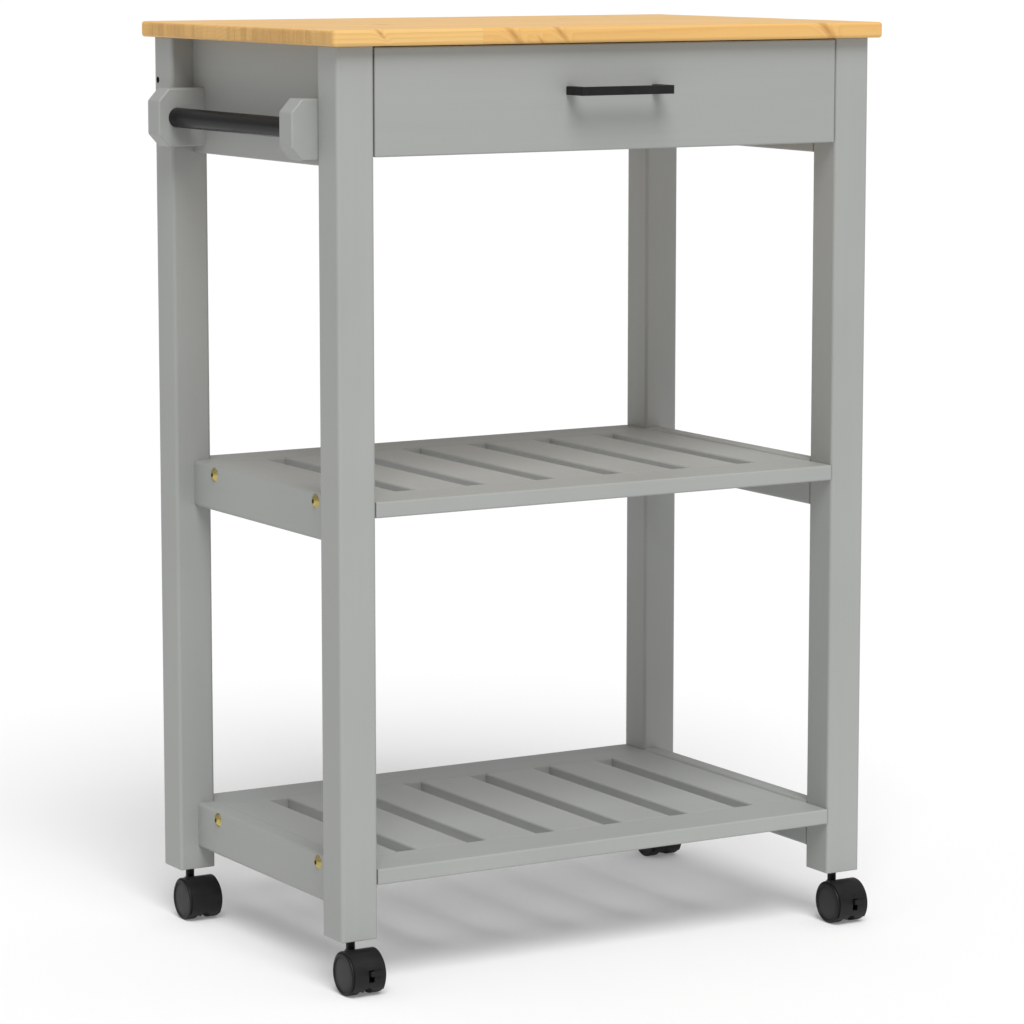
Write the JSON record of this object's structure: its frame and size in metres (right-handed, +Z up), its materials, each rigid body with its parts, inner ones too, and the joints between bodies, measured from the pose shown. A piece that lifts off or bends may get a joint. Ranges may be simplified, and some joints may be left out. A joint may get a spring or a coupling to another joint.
{
  "type": "kitchen island cart",
  "caption": "Narrow painted kitchen cart on swivel casters with a pine worktop, a drawer with a bridge handle, a side towel rail and slatted shelves.",
  "frame": {"origin": "on the floor under the middle of the whole outline, towel rail and drawer handle included, so the four-legged frame's own middle is at x 8.5 mm, y 8.2 mm", "axes": "+Z up; -Y is the front, with the drawer; -X is the side with the towel rail"},
  "size_m": [0.617, 0.4164, 0.887],
  "materials": {
    "pine_top": "clear satin lacquer on pine",
    "grey_paint": "pine painted satin warm grey",
    "raw_pine": "planed pine, unpainted",
    "dark_metal": "satin dark grey enamel",
    "black_metal": "satin black enamel",
    "brass": "polished brass plating",
    "steel": "zinc-plated steel",
    "caster_black": "moulded black nylon",
    "caster_wheel": "moulded black nylon tyre and hub"
  },
  "bodies": {
    "frame": {"worktop": "pine_top", "leg_front_left": "grey_paint", "leg_front_right": "grey_paint", "leg_back_left": "grey_paint", "leg_back_right": "grey_paint", "apron_left": "grey_paint", "apron_right": "grey_paint", "apron_back": "grey_paint", "front_stretcher": "grey_paint", "drawer_runner_left": "raw_pine", "drawer_runner_right": "raw_pine", "dowels": "raw_pine", "towel_bar": "black_metal", "towel_bracket_front": "grey_paint", "towel_bracket_back": "grey_paint", "middle_shelf_front_rail": "grey_paint", "middle_shelf_back_rail": "grey_paint", "middle_shelf_slats": "grey_paint", "middle_shelf_side_rail_left": "grey_paint", "middle_shelf_side_rail_right": "grey_paint", "lower_shelf_front_rail": "grey_paint", "lower_shelf_back_rail": "grey_paint", "lower_shelf_slats": "grey_paint", "lower_shelf_side_rail_left": "grey_paint", "lower_shelf_side_rail_right": "grey_paint", "wood_screws": "steel", "worktop_screws": "steel", "apron_screws": "steel", "worktop_angles": "steel", "caster_sockets": "steel", "barrel_nuts": "steel", "caster_stems": "caster_black", "shelf_bolts": "brass"},
    "drawer": {"drawer_front": "grey_paint", "drawer_side_left": "raw_pine", "drawer_side_right": "raw_pine", "drawer_back": "raw_pine", "drawer_bottom": "raw_pine", "drawer_screws": "steel", "drawer_dowels": "raw_pine", "drawer_handle": "dark_metal", "handle_screws": "steel"},
    "caster_front_left": {"caster_body_front_left": "caster_black", "caster_axle_front_left": "steel"},
    "wheel_front_left_left": {"caster_wheel_front_left_left": "caster_wheel"},
    "wheel_front_left_right": {"caster_wheel_front_left_right": "caster_wheel"},
    "brake_front_left": {"brake_lever_front_left": "caster_black"},
    "caster_front_right": {"caster_body_front_right": "caster_black", "caster_axle_front_right": "steel"},
    "wheel_front_right_left": {"caster_wheel_front_right_left": "caster_wheel"},
    "wheel_front_right_right": {"caster_wheel_front_right_right": "caster_wheel"},
    "brake_front_right": {"brake_lever_front_right": "caster_black"},
    "caster_back_left": {"caster_body_back_left": "caster_black", "caster_axle_back_left": "steel"},
    "wheel_back_left_left": {"caster_wheel_back_left_left": "caster_wheel"},
    "wheel_back_left_right": {"caster_wheel_back_left_right": "caster_wheel"},
    "caster_back_right": {"caster_body_back_right": "caster_black", "caster_axle_back_right": "steel"},
    "wheel_back_right_left": {"caster_wheel_back_right_left": "caster_wheel"},
    "wheel_back_right_right": {"caster_wheel_back_right_right": "caster_wheel"}
  },
  "joints": [
    {"name": "drawer_slide", "type": "slide", "parent": "frame", "child": "drawer", "axis": [0, -1, 0], "range_m": [0, 0.23]},
    {"name": "swivel_front_left", "type": "hinge", "parent": "frame", "child": "caster_front_left", "pos_m": [-0.2635, -0.1608, 0.03], "axis": [0, 0, 1], "continuous": true},
    {"name": "spin_front_left_left", "type": "hinge", "parent": "caster_front_left", "child": "wheel_front_left_left", "pos_m": [-0.2755, -0.1783, 0.02], "axis": [1, 0, 0], "continuous": true},
    {"name": "spin_front_left_right", "type": "hinge", "parent": "caster_front_left", "child": "wheel_front_left_right", "pos_m": [-0.2515, -0.1783, 0.02], "axis": [1, 0, 0], "continuous": true},
    {"name": "brake_front_left_press", "type": "hinge", "parent": "caster_front_left", "child": "brake_front_left", "pos_m": [-0.2635, -0.1783, 0.02], "axis": [1, 0, 0], "range_deg": [0, 14]},
    {"name": "swivel_front_right", "type": "hinge", "parent": "frame", "child": "caster_front_right", "pos_m": [0.2805, -0.1608, 0.03], "axis": [0, 0, 1], "continuous": true},
    {"name": "spin_front_right_left", "type": "hinge", "parent": "caster_front_right", "child": "wheel_front_right_left", "pos_m": [0.2685, -0.1783, 0.02], "axis": [1, 0, 0], "continuous": true},
    {"name": "spin_front_right_right", "type": "hinge", "parent": "caster_front_right", "child": "wheel_front_right_right", "pos_m": [0.2925, -0.1783, 0.02], "axis": [1, 0, 0], "continuous": true},
    {"name": "brake_front_right_press", "type": "hinge", "parent": "caster_front_right", "child": "brake_front_right", "pos_m": [0.2805, -0.1783, 0.02], "axis": [1, 0, 0], "range_deg": [0, 14]},
    {"name": "swivel_back_left", "type": "hinge", "parent": "frame", "child": "caster_back_left", "pos_m": [-0.2635, 0.1772, 0.03], "axis": [0, 0, 1], "continuous": true},
    {"name": "spin_back_left_left", "type": "hinge", "parent": "caster_back_left", "child": "wheel_back_left_left", "pos_m": [-0.2755, 0.1597, 0.02], "axis": [1, 0, 0], "continuous": true},
    {"name": "spin_back_left_right", "type": "hinge", "parent": "caster_back_left", "child": "wheel_back_left_right", "pos_m": [-0.2515, 0.1597, 0.02], "axis": [1, 0, 0], "continuous": true},
    {"name": "swivel_back_right", "type": "hinge", "parent": "frame", "child": "caster_back_right", "pos_m": [0.2805, 0.1772, 0.03], "axis": [0, 0, 1], "continuous": true},
    {"name": "spin_back_right_left", "type": "hinge", "parent": "caster_back_right", "child": "wheel_back_right_left", "pos_m": [0.2685, 0.1597, 0.02], "axis": [1, 0, 0], "continuous": true},
    {"name": "spin_back_right_right", "type": "hinge", "parent": "caster_back_right", "child": "wheel_back_right_right", "pos_m": [0.2925, 0.1597, 0.02], "axis": [1, 0, 0], "continuous": true}
  ]
}
